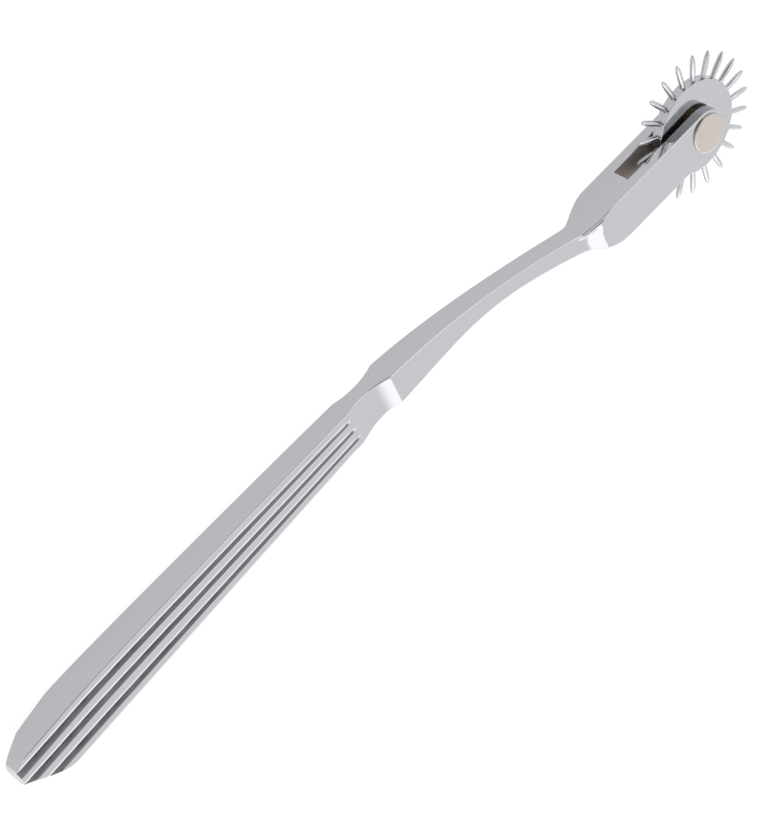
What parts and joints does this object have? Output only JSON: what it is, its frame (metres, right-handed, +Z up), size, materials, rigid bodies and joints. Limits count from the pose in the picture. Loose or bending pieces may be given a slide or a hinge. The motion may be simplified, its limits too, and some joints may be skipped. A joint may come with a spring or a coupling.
{
  "type": "neurological pinwheel",
  "caption": "Hand-held neurological pinwheel: a spiked wheel spins freely in the fork of a polished, grooved handle.",
  "frame": {"origin": "centre of the lower rivet head's flat face, on the wheel's axis, in the plane that the instrument lies on", "axes": "+X along the handle from the wheel to the butt end, +Z up along the wheel's axis, -Y towards the back edge of the handle, which looks up when the wheel is rolled"},
  "size_m": [0.1796, 0.028, 0.0085],
  "materials": {
    "polished_chrome": "mirror polished, with fine polishing lines",
    "wheel_chrome": "polished",
    "spike_steel": "bright polished",
    "nickel_rivet": "satin nickel with turned rings",
    "spacer_brass": "plain"
  },
  "bodies": {
    "handle": {"handle_body": "polished_chrome", "rivet_tube": "nickel_rivet", "rivet_pin": "nickel_rivet", "spacer_upper": "spacer_brass", "spacer_lower": "spacer_brass"},
    "wheel": {"wheel_disc": "wheel_chrome", "wheel_spikes": "spike_steel"}
  },
  "joints": [
    {"name": "wheel_spin", "type": "hinge", "parent": "handle", "child": "wheel", "pos_m": [0, 0, 0.00425], "axis": [0, 0, 1], "continuous": true}
  ]
}
